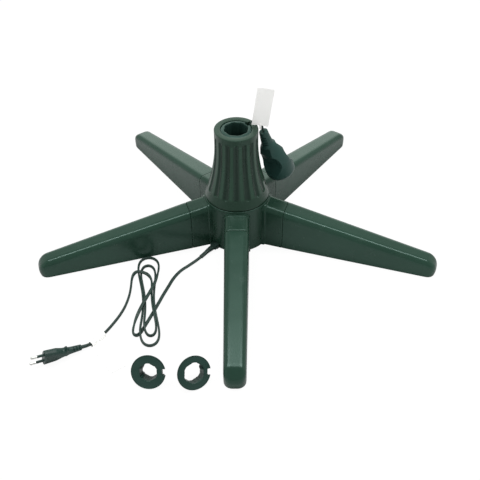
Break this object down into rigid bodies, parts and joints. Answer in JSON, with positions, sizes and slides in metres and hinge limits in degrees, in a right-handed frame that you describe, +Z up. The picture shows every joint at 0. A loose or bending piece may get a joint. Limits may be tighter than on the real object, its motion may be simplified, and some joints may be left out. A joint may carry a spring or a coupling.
{
  "type": "rotating tree stand",
  "caption": "Five-legged dark green floor stand with a fluted motor-driven turning column, pole adapters, a hanging outlet and a mains cord.",
  "frame": {"origin": "on the floor under the column's axis, at the middle of the base cover's underside", "axes": "+Z up along the column's axis; the front leg points along -Y; +X to the right seen from the front"},
  "size_m": [0.6406, 0.6151, 0.2717],
  "materials": {
    "hub_plastic": "glossy moulded bottle green",
    "leg_plastic": "glossy moulded bottle green",
    "column_plastic": "satin moulded bottle green",
    "adapter_plastic": "satin moulded bottle green",
    "outlet_plastic": "satin dark green",
    "plug_plastic": "satin dark green",
    "cord_skin": "soft dark green cord covering",
    "lead_skin": "soft brown wire covering",
    "black_plastic": "matt black",
    "white_plastic": "matt off-white",
    "gear_plastic": "natural nylon",
    "bearing_plastic": "waxy natural acetal",
    "carbon": "pressed carbon",
    "steel": "zinc-plated",
    "brass": "plain",
    "plated_brass": "bright nickel",
    "pad_rubber": "matt",
    "label_paper": "blank matt white"
  },
  "bodies": {
    "stand": {"hub_housing": "hub_plastic", "base_cover": "hub_plastic", "base_screws": "steel", "bearing_bush": "bearing_plastic", "thrust_ring": "bearing_plastic", "gear_motor": "steel", "motor_screws": "steel", "brush_block": "black_plastic", "brush_contacts": "carbon", "terminal_block": "white_plastic", "internal_leads": "lead_skin", "cord_gland": "cord_skin", "mains_cord_lead": "cord_skin", "mains_cord_hank": "cord_skin", "mains_cord_tail": "cord_skin", "plug_body": "plug_plastic", "plug_pins": "plated_brass", "cord_tag": "label_paper"},
    "column": {"trunk_column": "column_plastic", "pole_cup": "column_plastic", "cup_screws": "steel", "drive_gear": "gear_plastic", "slip_ring_disc": "gear_plastic", "slip_rings": "brass", "spindle_screw": "steel", "ring_leads": "lead_skin", "outlet_cord": "cord_skin", "outlet_body": "outlet_plastic", "outlet_face": "outlet_plastic", "outlet_contacts": "brass", "outlet_tag": "label_paper"},
    "fitted_adapter": {"pole_adapter": "adapter_plastic"},
    "pinion": {"motor_shaft": "steel", "drive_pinion": "gear_plastic"},
    "leg_front": {"leg_front": "leg_plastic", "pad_front": "pad_rubber"},
    "leg_right": {"leg_right": "leg_plastic", "pad_right": "pad_rubber"},
    "leg_back_right": {"leg_back_right": "leg_plastic", "pad_back_right": "pad_rubber"},
    "leg_back_left": {"leg_back_left": "leg_plastic", "pad_back_left": "pad_rubber"},
    "leg_left": {"leg_left": "leg_plastic", "pad_left": "pad_rubber"},
    "spare_large": {"spare_adapter_large": "adapter_plastic"},
    "spare_small": {"spare_adapter_small": "adapter_plastic"}
  },
  "joints": [
    {"name": "column_spin", "type": "hinge", "parent": "stand", "child": "column", "pos_m": [0, 0, 0], "axis": [0, 0, 1], "continuous": true},
    {"name": "pinion_spin", "type": "hinge", "parent": "stand", "child": "pinion", "pos_m": [0, -0.03, 0], "axis": [0, 0, 1], "continuous": true},
    {"name": "adapter_lift", "type": "slide", "parent": "column", "child": "fitted_adapter", "axis": [0, 0, 1], "range_m": [0, 0.06]},
    {"name": "front_leg_pull", "type": "slide", "parent": "stand", "child": "leg_front", "axis": [0, -1, 0], "range_m": [0, 0.04]},
    {"name": "right_leg_pull", "type": "slide", "parent": "stand", "child": "leg_right", "axis": [0.9511, -0.309, 0], "range_m": [0, 0.04]},
    {"name": "back_right_leg_pull", "type": "slide", "parent": "stand", "child": "leg_back_right", "axis": [0.5878, 0.809, 0], "range_m": [0, 0.04]},
    {"name": "back_left_leg_pull", "type": "slide", "parent": "stand", "child": "leg_back_left", "axis": [-0.5878, 0.809, 0], "range_m": [0, 0.04]},
    {"name": "left_leg_pull", "type": "slide", "parent": "stand", "child": "leg_left", "axis": [-0.9511, -0.309, 0], "range_m": [0, 0.04]},
    {"name": "large_spare_lift", "type": "slide", "parent": "stand", "child": "spare_large", "axis": [0, 0, 1], "range_m": [0, 0.08]},
    {"name": "small_spare_lift", "type": "slide", "parent": "stand", "child": "spare_small", "axis": [0, 0, 1], "range_m": [0, 0.08]}
  ],
  "couplings": [
    {"joint": "pinion_spin", "follows": "column_spin", "ratio": -2.3333}
  ]
}
